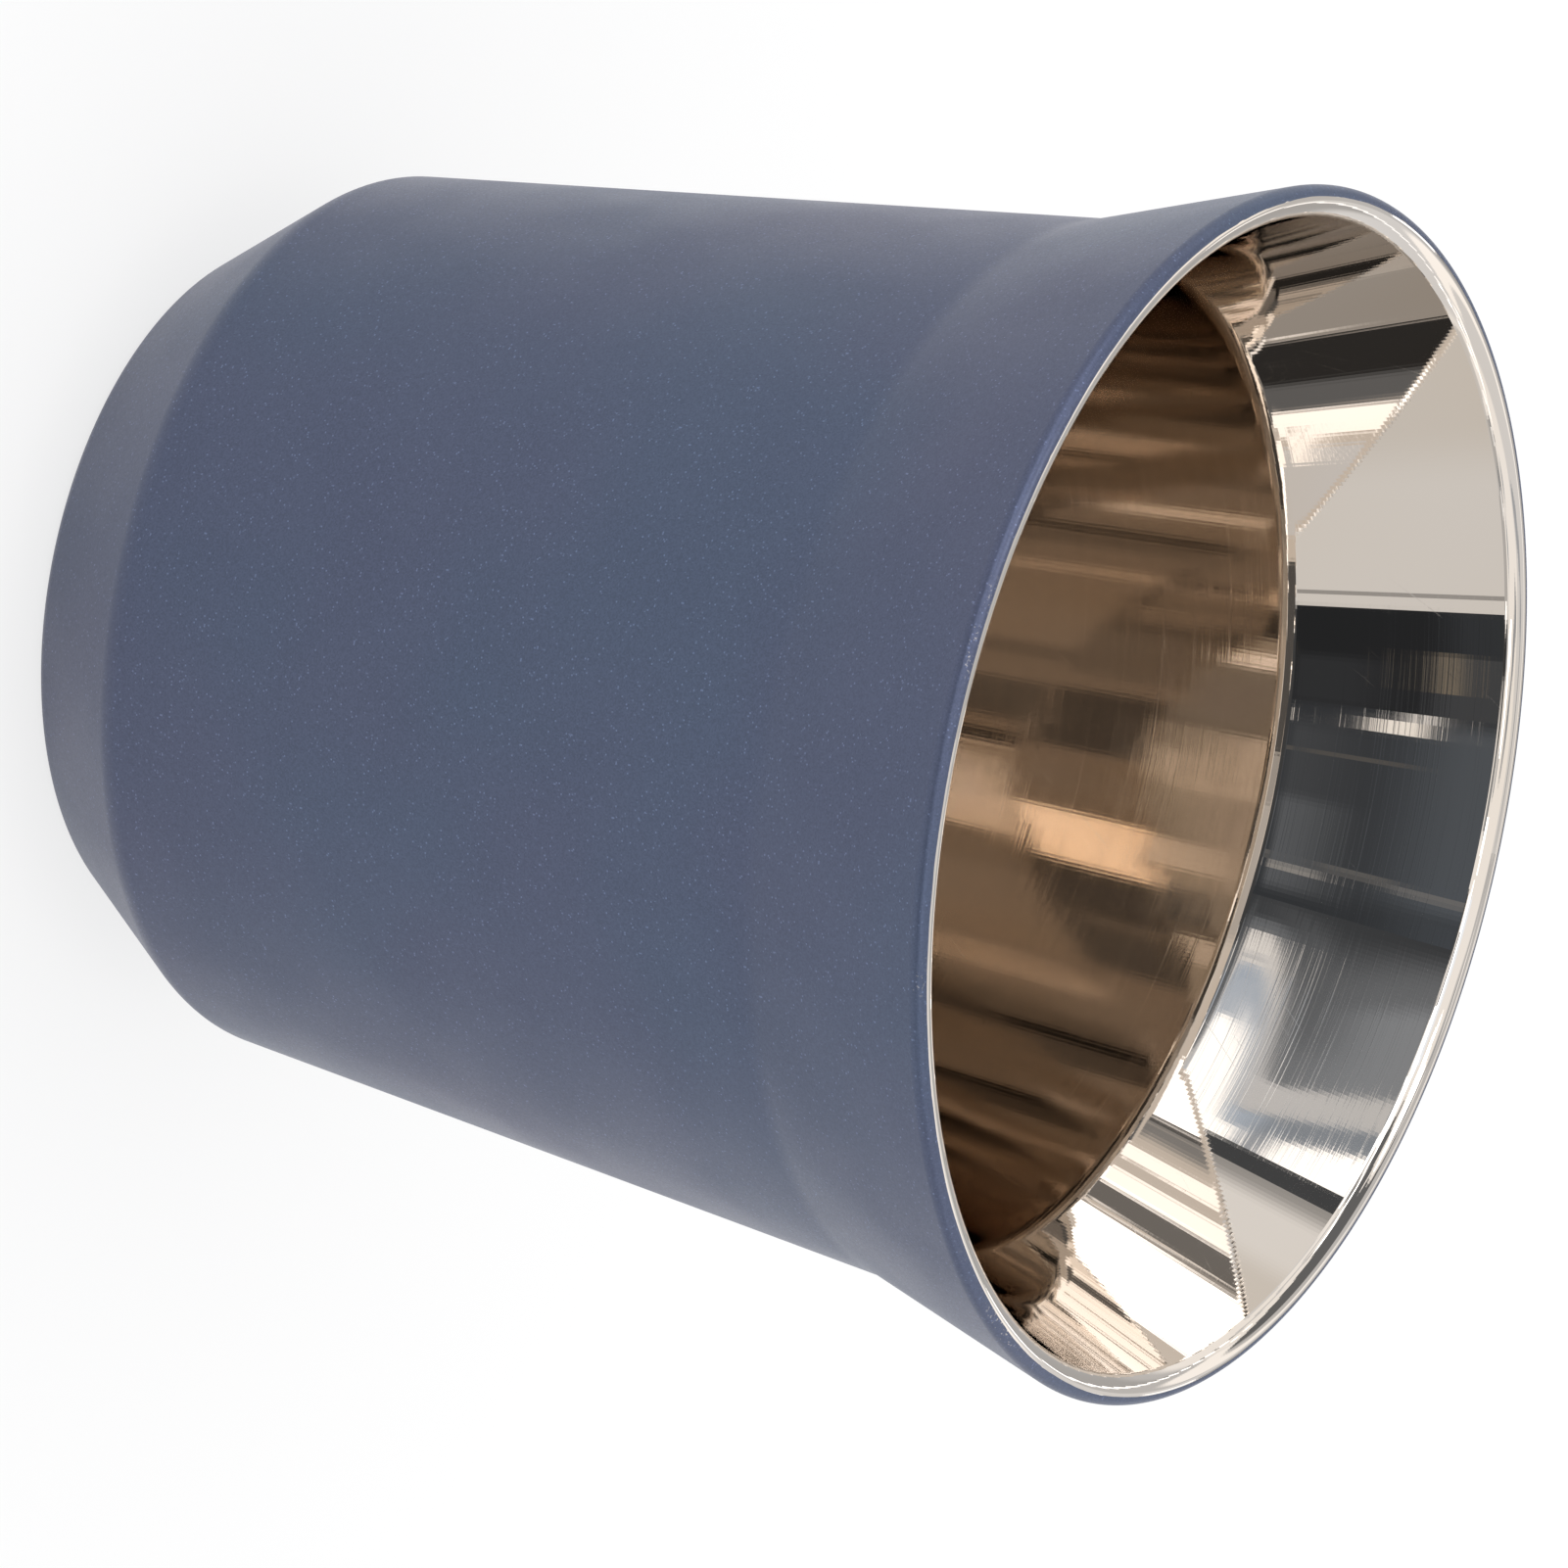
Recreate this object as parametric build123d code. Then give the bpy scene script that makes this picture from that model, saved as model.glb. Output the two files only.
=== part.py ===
from build123d import *
from math import atan2, cos, pi, radians, sin, tan
import os

# A small drinking cup drawn from metal. It stands upright on the floor plane, with its axis
# on Z and the origin at the centre of its foot. All sizes are millimetres.
# Diameters and heights are those of the outside face, at its corners before they are rounded.

# Heights above the floor, and the depth of the flare below the top of the lip
cup_height = 64.3
flare_depth = 12.8
base_taper_height = 8.3

# Outside diameters
mouth_diameter = 66.4
waist_diameter = 58.2
shoulder_diameter = 48.6
base_diameter = 37.1

# The wall, which keeps its thickness up to the waist and thins out over the flare to the lip
wall = 2.5
lip_wall = 1.6
floor_thickness = 1.7
inner_flare_depth = 11.8

# Radii of the outside face's bends
panel_bend = 1.0
foot_bend = 2.6
base_bend = 2.0
shoulder_bend = 2.8
waist_bend = 6.0

# Radii of the inside face's bends
inner_base_bend = 3.0
inner_shoulder_bend = 2.0
inner_waist_bend = 4.0

# The rounding of the lip's outer edge, and what stays flat on its top
lip_outer_round = 0.6
lip_flat = 0.1

# The underside: a ring that the cup stands on, and a panel raised inside it
foot_width = 3.2
panel_rise = 0.8
panel_slope = 30.0

# Share of the lip's thickness that its outer rounding may take
lip_round_share = 0.4


def outside_corners():
    """Corners of the outside face as (radius, height), from the axis under the cup to the lip."""
    waist_height = cup_height - flare_depth
    foot_inner = base_diameter / 2 - foot_width
    panel_radius = foot_inner - panel_rise / tan(radians(panel_slope))
    return [
        (0, panel_rise),
        (panel_radius, panel_rise),
        (foot_inner, 0),
        (base_diameter / 2, 0),
        (shoulder_diameter / 2, base_taper_height),
        (waist_diameter / 2, waist_height),
        (mouth_diameter / 2, cup_height),
    ]


def run_angles(corners):
    """Direction of each straight run between two corners, in radians from horizontal."""
    return [atan2(b[1] - a[1], b[0] - a[0]) for a, b in zip(corners, corners[1:])]


def one_wall_inside(corner, angle, height):
    """Radius at this height on the line that lies one wall inside a run of the outside face."""
    r, z = corner
    return r - wall / sin(angle) + (height - z) / tan(angle)


def inside_shoulder(shoulder, taper_angle, body_angle):
    """The inside's shoulder, where its taper and its body meet, each one wall inside the outside's."""
    r, z = shoulder
    normal = (taper_angle + body_angle) / 2 + pi / 2
    reach = wall / cos((body_angle - taper_angle) / 2)
    return r + reach * cos(normal), z + reach * sin(normal)


def inside_corners(corners):
    """Corners of the inside face, from the axis on the floor to the lip."""
    base, shoulder, waist, rim = corners[-4:]
    taper_angle, body_angle, flare_angle = run_angles(corners)[-3:]
    floor_height = panel_rise + floor_thickness
    waist_height = cup_height - inner_flare_depth
    return [
        (0, floor_height),
        (one_wall_inside(base, taper_angle, floor_height), floor_height),
        inside_shoulder(shoulder, taper_angle, body_angle),
        (one_wall_inside(waist, body_angle, waist_height), waist_height),
        (rim[0] - lip_wall / sin(flare_angle), cup_height),
    ]


def lip_radii(outer_slope, inner_slope):
    """Radii of the lip's outer and inner edges, which share the width of the lip's top."""
    top_width = lip_wall / sin(outer_slope)
    outer = min(lip_outer_round, lip_round_share * lip_wall)
    left_over = top_width - lip_flat - outer / tan(outer_slope / 2)
    inner = left_over * tan((pi - inner_slope) / 2)
    return outer, inner


def cup_section():
    """Half section of the drawn wall, to be turned about the axis."""
    outside = outside_corners()
    inside = inside_corners(outside)
    outside_bends = [panel_bend, foot_bend, base_bend, shoulder_bend, waist_bend]
    inside_bends = [inner_base_bend, inner_shoulder_bend, inner_waist_bend]
    lip_outer, lip_inner = lip_radii(run_angles(outside)[-1], run_angles(inside)[-1])
    corners = outside + inside[::-1]
    radii = outside_bends + [lip_outer, lip_inner] + inside_bends[::-1]
    with BuildSketch(Plane.XZ) as section:
        with BuildLine():
            edge = FilletPolyline(*corners, radius=radii)
            Line(edge @ 1, edge @ 0)
        make_face()
    return section.sketch


def drawn_cup():
    """The whole cup: base, tapered foot, body, flared mouth and rounded lip in one wall."""
    return revolve(cup_section(), axis=Axis.Z, revolution_arc=360)


os.makedirs("parts", exist_ok=True)
export_step(drawn_cup(), "parts/drawn_cup.step")
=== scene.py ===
from collections import namedtuple
from math import atan2, cos, pi, radians, sin, tan

import bpy
from bpy.props import FloatProperty, FloatVectorProperty, IntProperty, PointerProperty
from mathutils import Matrix, Vector


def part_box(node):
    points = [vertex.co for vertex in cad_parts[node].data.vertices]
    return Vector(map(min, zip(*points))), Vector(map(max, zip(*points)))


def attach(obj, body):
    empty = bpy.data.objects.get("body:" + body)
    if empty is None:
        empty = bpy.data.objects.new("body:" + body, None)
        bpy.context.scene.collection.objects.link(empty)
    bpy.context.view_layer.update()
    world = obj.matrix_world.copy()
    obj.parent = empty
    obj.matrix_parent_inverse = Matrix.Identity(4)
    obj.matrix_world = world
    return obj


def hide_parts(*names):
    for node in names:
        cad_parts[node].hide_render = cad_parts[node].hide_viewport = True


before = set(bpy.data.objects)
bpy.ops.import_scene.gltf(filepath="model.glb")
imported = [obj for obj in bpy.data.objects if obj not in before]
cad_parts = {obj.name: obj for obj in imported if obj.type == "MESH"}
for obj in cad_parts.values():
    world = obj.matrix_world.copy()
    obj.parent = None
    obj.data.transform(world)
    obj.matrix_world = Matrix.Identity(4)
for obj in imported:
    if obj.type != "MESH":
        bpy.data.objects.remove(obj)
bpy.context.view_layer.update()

bl_info = {
    "name": "Deep Drawn Metal Cup",
    "version": (1, 0, 0),
    "blender": (4, 5, 0),
    "location": "3D View > Sidebar > Drawn Cup",
    "description": "Makes a drawn steel cup with a satin lacquer outside, and a studio to see it in",
    "category": "Add Mesh",
}

# What the frame gives
CUP_NODE = "drawn_cup"
CUP_BODY = "root"
CUP_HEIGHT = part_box(CUP_NODE)[1][2]
CUP_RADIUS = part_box(CUP_NODE)[1][0]

MM = 0.001

# How far the wall's widest radius may be from the frame's
FIT_TOLERANCE = 0.01 * MM

# How finely a corner is rounded, as a share of the bend points. A corner without detail isn't seen.
# The last two are limits for one corner and one run.
FULL_DETAIL = 1.0
OUTER_LIP_DETAIL = 0.5
INNER_BEND_DETAIL = 0.35
NO_DETAIL = 0.0
FEWEST_BEND_POINTS = 3.0
MOST_CUTS = 400.0

# What the lathe joins and what it shades smooth
MERGE_DISTANCE = 0.001 * MM
SMOOTH_ANGLE = radians(35)

# The lip's rounding is worn back above this angle, counted from level. NO_WEAR lies above all of it.
WEAR_FROM = radians(8)
NO_WEAR = pi

# Light is reflected up to ten times inside the cup
MOST_BOUNCES = 12


def length(name, description, millimetres):
    """A length that a user can change, in metres."""
    return FloatProperty(
        name=name, description=description, default=millimetres * MM, unit="LENGTH", precision=5
    )


def angle(name, description, degrees):
    """An angle that a user can change, in radians."""
    return FloatProperty(name=name, description=description, default=radians(degrees), unit="ROTATION")


def whole(name, description, value, least=0):
    """A whole number that a user can change."""
    return IntProperty(name=name, description=description, default=value, min=least)


def number(name, description, value):
    """A plain number that a user can change."""
    return FloatProperty(name=name, description=description, default=value)


def share(name, description, value):
    """A factor from 0 to 1 that a user can change."""
    return FloatProperty(
        name=name, description=description, default=value, min=0.0, max=1.0, subtype="FACTOR"
    )


def colour(name, description, value):
    """A linear colour that a user can change."""
    return FloatVectorProperty(
        name=name, description=description, default=value, size=3, min=0.0, max=1.0, subtype="COLOR"
    )


class CupSizes(bpy.types.PropertyGroup):
    """Sizes of the drawn wall. Diameters and heights are those of the outside's unrounded corners."""

    cup_height: FloatProperty(
        name="Height",
        description="From the foot to the top of the lip",
        default=CUP_HEIGHT,
        unit="LENGTH",
        precision=5,
    )
    flare_depth: length("Flare Depth", "From the top of the lip down to the waist", 12.8)
    base_taper_height: length("Base Taper Height", "From the foot up to the shoulder", 8.3)
    mouth_diameter: length("Mouth", "Outside diameter at the lip", 66.4)
    waist_diameter: length("Waist", "Outside diameter where the flare starts", 58.2)
    shoulder_diameter: length("Shoulder", "Outside diameter above the tapered base", 48.6)
    base_diameter: length("Base", "Outside diameter of the foot", 37.1)
    wall: length("Wall", "Thickness of the wall up to the waist", 2.5)
    lip_wall: length("Lip Wall", "Thickness that the wall thins to at the lip", 1.6)
    floor_thickness: length("Floor", "Thickness of the raised panel and the floor inside", 1.7)
    inner_flare_depth: length("Inner Flare Depth", "From the lip's top down to the inside's waist", 11.8)
    panel_bend: length("Panel Bend", "Outside radius of the raised panel's edge", 1.0)
    foot_bend: length("Foot Bend", "Outside radius of the foot's inner edge", 2.6)
    base_bend: length("Base Bend", "Outside radius of the foot's outer edge", 2.0)
    shoulder_bend: length("Shoulder Bend", "Outside radius of the shoulder", 2.8)
    waist_bend: length("Waist Bend", "Outside radius of the waist", 6.0)
    inner_base_bend: length("Inner Base Bend", "Inside radius of the floor's edge", 3.0)
    inner_shoulder_bend: length("Inner Shoulder Bend", "Inside radius of the shoulder", 2.0)
    inner_waist_bend: length("Inner Waist Bend", "Inside radius of the waist", 4.0)
    lip_outer_round: length("Lip Outer Rounding", "Radius of the lip's outer edge", 0.6)
    lip_flat: length("Lip Flat", "What stays flat on top of the lip", 0.1)
    foot_width: length("Foot Width", "Width of the ring that the cup stands on", 3.2)
    panel_rise: length("Panel Rise", "Height of the panel under the base", 0.8)
    panel_slope: angle("Panel Slope", "Slope of the raised panel's edge", 30.0)
    coat: length("Lacquer", "Thickness of the lacquer", 0.05)
    coat_sink: length("Lacquer Sink", "How deep the lacquer's back lies in the steel", 0.02)
    coat_edge: angle("Lacquer Edge", "How far the lacquer goes up the lip's outer rounding", 87.0)
    edge_wear: share("Edge Wear", "Share of the rounding that the lacquer's edge is worn back", 0.2)


class CupMesh(bpy.types.PropertyGroup):
    """How finely the pieces are divided."""

    steel_segments: whole("Steel Segments", "Faces round the steel wall", 720, 12)
    coat_segments: whole("Lacquer Segments", "Faces round the lacquer", 720, 12)
    steel_points: whole("Steel Bend Points", "Points on a bend of the steel", 24, 1)
    coat_points: whole("Lacquer Bend Points", "Points on a bend of the lacquer", 12, 1)
    steel_step: length("Steel Step", "Longest face along a straight run of the steel", 2.0)
    coat_step: length("Lacquer Step", "Longest face along a straight run of the lacquer", 5.0)
    seed: whole("Seed", "Which wear the lacquer's edge gets", 4)


class CupFinish(bpy.types.PropertyGroup):
    """Colours and gloss of the two finishes."""

    steel: colour("Steel", "Reflection colour of the bare steel", (0.64, 0.585, 0.53))
    steel_roughness: share("Steel Roughness", "Roughness of the polished flare", 0.018)
    body_roughness: share("Inside Roughness", "Roughness of the inside below the waist", 0.024)
    lacquer: colour("Lacquer", "Main colour of the lacquer", (0.070, 0.086, 0.145))
    lacquer_teal: colour("Lacquer Teal", "Cooler patches in the lacquer", (0.065, 0.088, 0.146))
    lacquer_mauve: colour("Lacquer Mauve", "Warmer patches in the lacquer", (0.075, 0.085, 0.143))
    lacquer_roughness: share("Lacquer Roughness", "Roughness of the lacquer", 0.46)
    flake_size: length("Flake Size", "Width of a metallic flake", 0.09)


class StudioSettings(bpy.types.PropertyGroup):
    """Where the camera stands, and how bright the studio is."""

    aim: FloatVectorProperty(
        name="Aim",
        description="Point that the camera looks at",
        default=(4.267 * MM, 0, 37.23 * MM),
        unit="LENGTH",
    )
    distance: length("Distance", "From the camera to the aim", 741.29)
    azimuth: angle("Azimuth", "Turn of the camera about the cup's axis", -0.3765)
    elevation: angle("Elevation", "Height of the camera above the horizon", 28.832)
    roll: angle("Roll", "Turn of the camera about its own line of sight", -102.142)
    lens: number("Lens", "Focal length in millimetres", 314.8)
    sensor: number("Sensor", "Sensor width in millimetres", 36.0)
    room_level: number("Room Level", "Brightness of the room between the panels", 1.3)
    floor_radius: length("Floor Radius", "Radius of the round floor", 6000.0)
    floor_white: share("Floor White", "Share of plain white that the camera sees on the floor", 0.75)


class Term:
    """A socket that takes part in Python arithmetic: each operation adds a Math node to its sheet."""

    def __init__(self, sheet, node, output):
        self.sheet = sheet
        self.node = node
        self.socket = node.outputs[output]

    def math(self, operation, *others):
        return self.sheet.add("ShaderNodeMath", [self, *others], operation=operation)

    def __add__(self, other):
        return self.math("ADD", other)

    __radd__ = __add__

    def __mul__(self, other):
        return self.math("MULTIPLY", other)

    __rmul__ = __mul__

    def __sub__(self, other):
        return self.math("SUBTRACT", other)

    def __rsub__(self, other):
        return self.sheet.add("ShaderNodeMath", [other, self], operation="SUBTRACT")

    def __truediv__(self, other):
        return self.math("DIVIDE", other)

    def output(self, name):
        """Another output of the same node."""
        return Term(self.sheet, self.node, name)

    def split(self):
        """The three parts of a vector."""
        parts = self.sheet.add("ShaderNodeSeparateXYZ", [self])
        return parts, parts.output(1), parts.output(2)

    def ramp(self, low, high):
        """0 below low, 1 above high and a smooth step between. It falls if high is the lower one."""
        values = {"Value": self, "From Min": min(low, high), "From Max": max(low, high)}
        if low > high:
            values.update({"To Min": 1.0, "To Max": 0.0})
        return self.sheet.add("ShaderNodeMapRange", values, interpolation_type="SMOOTHSTEP")

    def within(self, low, high, soft):
        """1 between low and high and 0 outside them, with edges that are soft on both sides."""
        half = (high - low) / 2
        return (self - (low + half)).math("ABSOLUTE").ramp(half + soft, half - soft)


class NodeSheet:
    """A node tree written as Python. It serves shaders and Geometry Nodes alike."""

    def __init__(self, tree):
        self.tree = tree

    def add(self, kind, values=None, output=0, **settings):
        """Adds a node: its settings first, then the values or links of its sockets."""
        node = self.tree.nodes.new(kind)
        for name, setting in settings.items():
            setattr(node, name, setting)
        pairs = values.items() if isinstance(values, dict) else enumerate(values or [])
        for key, value in pairs:
            self.feed(node.inputs[key], value)
        return Term(self, node, output)

    def finish_with(self, kind, values):
        """Adds a node that has no output, such as a Material Output."""
        node = self.tree.nodes.new(kind)
        for key, value in values.items():
            self.feed(node.inputs[key], value)

    def feed(self, socket, value):
        if isinstance(value, Term):
            self.tree.links.new(value.socket, socket)
        elif socket.type == "RGBA":
            socket.default_value = (*value, 1.0)
        else:
            socket.default_value = value

    def vector(self, x, y, z):
        return self.add("ShaderNodeCombineXYZ", [x, y, z])

    def blend(self, factor, first, second):
        """A colour between two colours."""
        return self.add("ShaderNodeMix", {0: factor, 6: first, 7: second}, output=2, data_type="RGBA")

    def tint(self, colour_term, factor):
        """A colour made lighter or darker by a factor."""
        values = {0: colour_term, "Scale": factor}
        return self.add("ShaderNodeVectorMath", values, operation="SCALE")

    def mix(self, factor, first, second):
        """A shader between two shaders."""
        return self.add("ShaderNodeMixShader", [factor, first, second])

    def background(self, light, strength=1.0):
        return self.add("ShaderNodeBackground", {"Color": light, "Strength": strength})

    def noise(self, place, scale, detail):
        return self.add("ShaderNodeTexNoise", {"Vector": place, "Scale": scale, "Detail": detail})

    def cells(self, place, size, output):
        """Random cells of about that size."""
        return self.add("ShaderNodeTexVoronoi", {"Vector": place, "Scale": 1 / size}, output=output)

    def bump(self, height, distance, normal=None):
        values = {"Height": height, "Distance": distance, "Strength": 1.0}
        if normal is not None:
            values["Normal"] = normal
        return self.add("ShaderNodeBump", values)

    def finish_metal(self, values):
        """Ends a material with a metal that loses no light between its grains."""
        shader = self.add("ShaderNodeBsdfPrincipled", values, distribution="MULTI_GGX")
        self.finish_with("ShaderNodeOutputMaterial", {"Surface": shader})


def outside_corners(sizes):
    """Corners of the outside face as (radius, height), from the axis under the cup to the lip."""
    waist_height = sizes.cup_height - sizes.flare_depth
    foot_inner = sizes.base_diameter / 2 - sizes.foot_width
    panel_radius = foot_inner - sizes.panel_rise / tan(sizes.panel_slope)
    return [
        (0, sizes.panel_rise),
        (panel_radius, sizes.panel_rise),
        (foot_inner, 0),
        (sizes.base_diameter / 2, 0),
        (sizes.shoulder_diameter / 2, sizes.base_taper_height),
        (sizes.waist_diameter / 2, waist_height),
        (sizes.mouth_diameter / 2, sizes.cup_height),
    ]


def run_angles(corners):
    """Direction of each straight run between two corners, in radians from horizontal."""
    return [atan2(b[1] - a[1], b[0] - a[0]) for a, b in zip(corners, corners[1:])]


def polar(start, reach, direction):
    """The point this far from a start, in a direction in radians from horizontal."""
    return start[0] + reach * cos(direction), start[1] + reach * sin(direction)


def under_corner(corner, before, after, depth):
    """The point this deep under a corner, where runs with these two directions meet."""
    return polar(corner, depth / cos((after - before) / 2), (before + after) / 2 + pi / 2)


def corners_at(sizes, depth):
    """Corners of the face that lies this deep under the outside, from the axis to the lip."""
    corners = outside_corners(sizes)
    angles = run_angles(corners)
    face = [(0, corners[0][1] + depth)]
    face += [under_corner(*bend, depth) for bend in zip(corners[1:-1], angles, angles[1:])]
    rim_r, rim_z = corners[-1]
    face.append((rim_r - depth / sin(angles[-1]), rim_z))
    return face


def radii_at(sizes, depth):
    """Bend radii of the face that lies this deep under the outside, from the axis to the waist."""
    angles = run_angles(outside_corners(sizes))
    bends = [sizes.panel_bend, sizes.foot_bend, sizes.base_bend, sizes.shoulder_bend, sizes.waist_bend]
    return [
        bend + (depth if after < before else -depth)
        for bend, before, after in zip(bends, angles, angles[1:])
    ]


def one_wall_inside(sizes, corner, angle, height):
    """Radius at this height on the line that lies one wall inside a run of the outside face."""
    r, z = corner
    return r - sizes.wall / sin(angle) + (height - z) / tan(angle)


def inside_corners(sizes):
    """Corners of the inside face, from the axis on the floor to the lip."""
    corners = outside_corners(sizes)
    base, shoulder, waist, rim = corners[-4:]
    taper_angle, body_angle, flare_angle = run_angles(corners)[-3:]
    floor_height = sizes.panel_rise + sizes.floor_thickness
    waist_height = sizes.cup_height - sizes.inner_flare_depth
    return [
        (0, floor_height),
        (one_wall_inside(sizes, base, taper_angle, floor_height), floor_height),
        under_corner(shoulder, taper_angle, body_angle, sizes.wall),
        (one_wall_inside(sizes, waist, body_angle, waist_height), waist_height),
        (rim[0] - sizes.lip_wall / sin(flare_angle), sizes.cup_height),
    ]


def flare_slope(sizes):
    """Slope of the flare's outside, in radians from horizontal."""
    return run_angles(outside_corners(sizes))[-1]


def lip_centre(sizes):
    """Centre of the lip's outer rounding."""
    rim_r, rim_z = outside_corners(sizes)[-1]
    return rim_r - sizes.lip_outer_round / tan(flare_slope(sizes) / 2), rim_z - sizes.lip_outer_round


def lip_inner_round(sizes):
    """Radius of the lip's inner edge, which takes what its outer edge and its flat leave of the top."""
    slope = flare_slope(sizes)
    left_over = sizes.lip_wall / sin(slope) - sizes.lip_flat - sizes.lip_outer_round / tan(slope / 2)
    return left_over * tan((pi - run_angles(inside_corners(sizes))[-1]) / 2)


def steel_profile(sizes):
    """Corners, bend radii and details of the bare steel, which lies one coat inside the outside face."""
    corners = corners_at(sizes, sizes.coat) + inside_corners(sizes)[::-1]
    lip = [sizes.lip_outer_round, lip_inner_round(sizes)]
    inside = [sizes.inner_waist_bend, sizes.inner_shoulder_bend, sizes.inner_base_bend]
    radii = [0] + radii_at(sizes, sizes.coat) + lip + inside + [0]
    seen = [OUTER_LIP_DETAIL, FULL_DETAIL, FULL_DETAIL, INNER_BEND_DETAIL, INNER_BEND_DETAIL]
    hidden = [NO_DETAIL] * (len(corners) - len(seen) - 1)
    return corners, radii, hidden + seen + [NO_DETAIL]


def coat_face(sizes, depth):
    """One side of the lacquer, from the axis to its edge on the lip's outer rounding."""
    centre = lip_centre(sizes)
    start = flare_slope(sizes) - pi / 2
    radius = sizes.lip_outer_round - depth
    half_turn = (sizes.coat_edge - start) / 2
    turn = polar(centre, radius / cos(half_turn), start + half_turn)
    edge = polar(centre, radius, sizes.coat_edge)
    return corners_at(sizes, depth)[:-1] + [turn, edge], [0] + radii_at(sizes, depth) + [radius, 0]


def coat_profile(sizes):
    """Corners, bend radii and details of the lacquer, a thin closed skin with its back in the steel."""
    front, front_radii = coat_face(sizes, 0.0)
    back, back_radii = coat_face(sizes, sizes.coat + sizes.coat_sink)
    details = [FULL_DETAIL] * len(front) + [NO_DETAIL] * len(back)
    return front + back[::-1], front_radii + back_radii[::-1], details


def profile_object(name, corners, radii, details):
    """A line of corners in the XZ plane, each with the radius of its bend and its share of detail."""
    mesh = bpy.data.meshes.new(name)
    count = len(corners)
    mesh.from_pydata([(r, 0.0, z) for r, z in corners], [(i, i + 1) for i in range(count - 1)], [])
    mesh.attributes.new("bend", "FLOAT", "POINT").data.foreach_set("value", radii)
    mesh.attributes.new("detail", "FLOAT", "POINT").data.foreach_set("value", details)
    piece = bpy.data.objects.new(name, mesh)
    bpy.context.scene.collection.objects.link(piece)
    return piece


# The lathe's name, the kind of field that its nodes read, and its sockets
LATHE_NAME = "drawn_wall_lathe"
AT_POINTS = {"data_type": "FLOAT_VECTOR", "domain": "POINT"}
LATHE_INPUTS = {
    "Geometry": "NodeSocketGeometry",
    "Segments": "NodeSocketInt",
    "Bend Points": "NodeSocketInt",
    "Longest Step": "NodeSocketFloat",
    "Lip Radius": "NodeSocketFloat",
    "Lip Height": "NodeSocketFloat",
    "Wear From": "NodeSocketFloat",
    "Edge Wear": "NodeSocketFloat",
    "Seed": "NodeSocketInt",
    "Material": "NodeSocketMaterial",
}


def lathe_tree():
    """Geometry Nodes that round a line of corners and turn it about Z into a closed wall."""
    tree = bpy.data.node_groups.new(LATHE_NAME, "GeometryNodeTree")
    for name, kind in LATHE_INPUTS.items():
        tree.interface.new_socket(name, in_out="INPUT", socket_type=kind)
    tree.interface.new_socket("Geometry", in_out="OUTPUT", socket_type="NodeSocketGeometry")
    sheet = NodeSheet(tree)
    given = sheet.add("NodeGroupInput")
    line = rounded_line(sheet, given)
    wall = turned_wall(sheet, given, line)
    wall = worn_edge(sheet, given, wall)
    wall = sheet.add("GeometryNodeMergeByDistance", {"Geometry": wall, "Distance": MERGE_DISTANCE})
    smooth = sheet.add("GeometryNodeInputMeshEdgeAngle").math("LESS_THAN", SMOOTH_ANGLE)
    values = {"Geometry": wall, "Shade Smooth": smooth}
    wall = sheet.add("GeometryNodeSetShadeSmooth", values, domain="EDGE")
    values = {"Geometry": wall, "Material": given.output("Material")}
    wall = sheet.add("GeometryNodeSetMaterial", values)
    sheet.finish_with("NodeGroupOutput", {"Geometry": wall})
    return tree


def rounded_line(sheet, given):
    """The line of corners with its bends rounded and its long runs divided."""
    line = sheet.add("GeometryNodeMeshToCurve", {"Mesh": given.output("Geometry")})
    bend, detail = (
        sheet.add("GeometryNodeInputNamedAttribute", {"Name": name}, data_type="FLOAT")
        for name in ("bend", "detail")
    )
    points = (detail * given.output("Bend Points")).math("MAXIMUM", FEWEST_BEND_POINTS)
    values = {"Curve": line, "Count": points, "Radius": bend}
    line = sheet.add("GeometryNodeFilletCurve", values, mode="POLY")
    here = sheet.add("GeometryNodeInputPosition")
    values = {"Index": sheet.add("GeometryNodeInputIndex") + 1, "Value": here}
    there = sheet.add("GeometryNodeFieldAtIndex", values, **AT_POINTS)
    step = sheet.add("ShaderNodeVectorMath", [here, there], output="Value", operation="DISTANCE")
    cuts = (step / given.output("Longest Step")).math("FLOOR").math("MINIMUM", MOST_CUTS) * detail
    return sheet.add("GeometryNodeSubdivideCurve", {"Curve": line, "Cuts": cuts})


def turned_wall(sheet, given, line):
    """A grid whose columns are the line, turned step by step about Z."""
    size = sheet.add("GeometryNodeAttributeDomainSize", {"Geometry": line}, component="CURVE")
    segments = given.output("Segments")
    grid = sheet.add("GeometryNodeMeshGrid", {"Vertices X": segments + 1, "Vertices Y": size})
    index = sheet.add("GeometryNodeInputIndex")
    column = (index / size).math("FLOOR")
    row = index - column * size
    values = {"Geometry": line, "Value": sheet.add("GeometryNodeInputPosition"), "Index": row}
    radius, _, height = sheet.add("GeometryNodeSampleIndex", values, **AT_POINTS).split()
    turn = column / segments * (2 * pi)
    place = sheet.vector(radius * turn.math("COSINE"), radius * turn.math("SINE"), height)
    return sheet.add("GeometryNodeSetPosition", {"Geometry": grid, "Position": place})


# Share of the edge's wear that wanders slowly. The rest is small bites.
WANDER_SHARE = 0.35


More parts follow.
